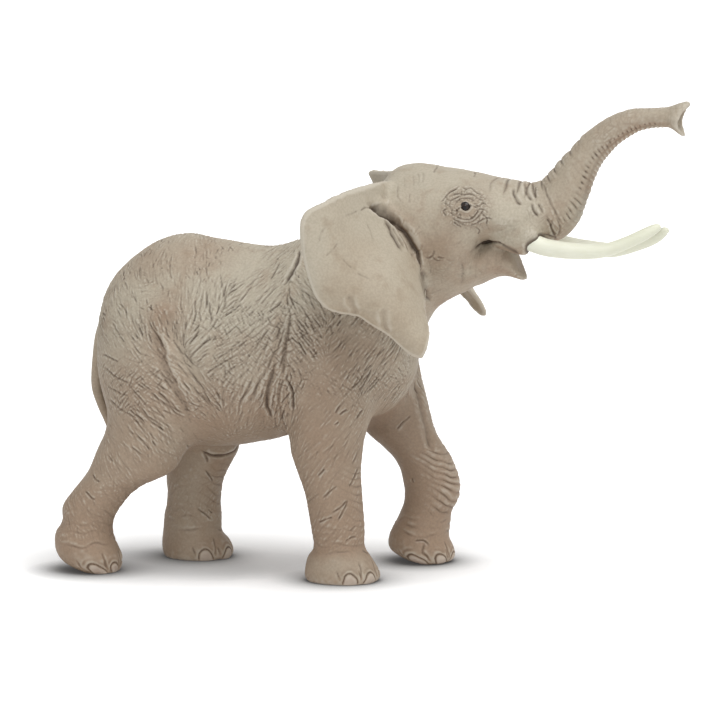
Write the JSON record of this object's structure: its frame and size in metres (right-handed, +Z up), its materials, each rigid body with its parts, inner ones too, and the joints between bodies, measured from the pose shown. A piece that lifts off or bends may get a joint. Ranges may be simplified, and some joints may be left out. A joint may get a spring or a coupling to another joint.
{
  "type": "toy elephant figure",
  "caption": "Moulded plastic African elephant figure, walking, with its trunk raised, ears spread, ivory tusks and a wrinkled grey-brown painted hide.",
  "frame": {"origin": "middle of the figure's bounding box seen from above, on the ground plane under the soles", "axes": "+X forwards, the way the elephant walks and its trunk points; +Y to the elephant's left; +Z up"},
  "size_m": [0.1996, 0.1026, 0.1526],
  "materials": {
    "torso_paint": "warm grey-brown paint with a dark wash in the skin's creases",
    "head_paint": "warm grey-brown paint, browner on the cheek and jaw",
    "ear_paint": "smooth grey-brown paint",
    "leg_paint": "pinkish brown paint with paler nails",
    "ivory_paint": "smooth satin ivory",
    "eye_paint": "glossy dark brown"
  },
  "bodies": {
    "root": {"torso_right_shell": "torso_paint", "torso_left_shell": "torso_paint", "head": "head_paint", "lower_jaw": "head_paint", "ear_right": "ear_paint", "ear_left": "ear_paint", "tusk_right": "ivory_paint", "tusk_left": "ivory_paint", "eye_right": "eye_paint", "eye_left": "eye_paint", "tail": "torso_paint", "front_leg_right": "leg_paint", "front_leg_left": "leg_paint", "rear_leg_right": "leg_paint", "rear_leg_left": "leg_paint"}
  },
  "joints": []
}
